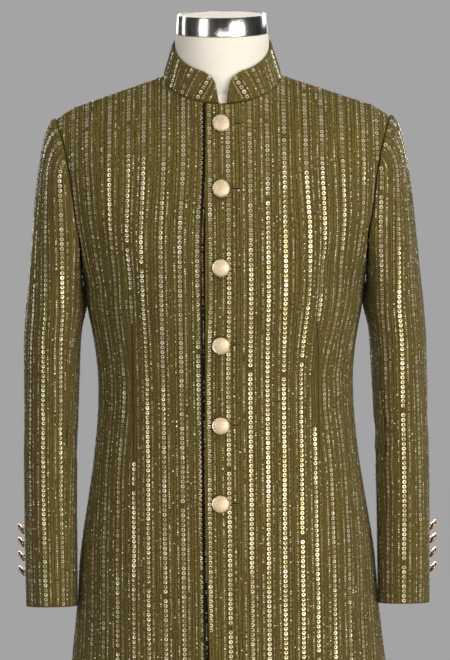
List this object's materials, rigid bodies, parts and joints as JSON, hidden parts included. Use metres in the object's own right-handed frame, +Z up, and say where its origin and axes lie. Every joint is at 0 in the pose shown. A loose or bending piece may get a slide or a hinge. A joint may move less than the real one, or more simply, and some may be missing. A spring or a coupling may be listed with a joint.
{
  "type": "sherwani coat on a limbless dress form",
  "caption": "Knee-length stand-collar coat with a lapped, buttoned front and long two-piece sleeves, filled out by a limbless dress form on a pole with a round foot.",
  "frame": {"origin": "on the floor at the middle of the stand's round foot", "axes": "+Z up, -Y the way the coat's front faces, +X towards the coat's own left side"},
  "size_m": [0.5674, 0.4, 1.5815],
  "materials": {
    "sequin_cloth": "olive cloth with stripes of small gold sequins",
    "button_metal": "pale gold, finely hammered face with a bright rim",
    "cuff_button_metal": "rose gold, polished",
    "form_cover": "cream jersey stretched smooth",
    "cap_metal": "turned and polished",
    "stand_metal": "brushed"
  },
  "bodies": {
    "root": {"front_left": "sequin_cloth", "front_right": "sequin_cloth", "back_left": "sequin_cloth", "back_right": "sequin_cloth", "sleeve_top_left": "sequin_cloth", "sleeve_top_right": "sequin_cloth", "sleeve_under_left": "sequin_cloth", "sleeve_under_right": "sequin_cloth", "collar": "sequin_cloth", "button_1": "button_metal", "button_2": "button_metal", "button_3": "button_metal", "button_4": "button_metal", "button_5": "button_metal", "button_6": "button_metal", "cuff_button_left_1": "cuff_button_metal", "cuff_button_left_2": "cuff_button_metal", "cuff_button_left_3": "cuff_button_metal", "cuff_button_left_4": "cuff_button_metal", "cuff_button_right_1": "cuff_button_metal", "cuff_button_right_2": "cuff_button_metal", "cuff_button_right_3": "cuff_button_metal", "cuff_button_right_4": "cuff_button_metal", "form_torso": "form_cover", "form_neck": "form_cover", "cap_disc": "form_cover", "neck_cap": "cap_metal", "foot_plate": "stand_metal", "pole_socket": "stand_metal", "pole": "stand_metal", "pole_flange": "stand_metal"}
  },
  "joints": []
}
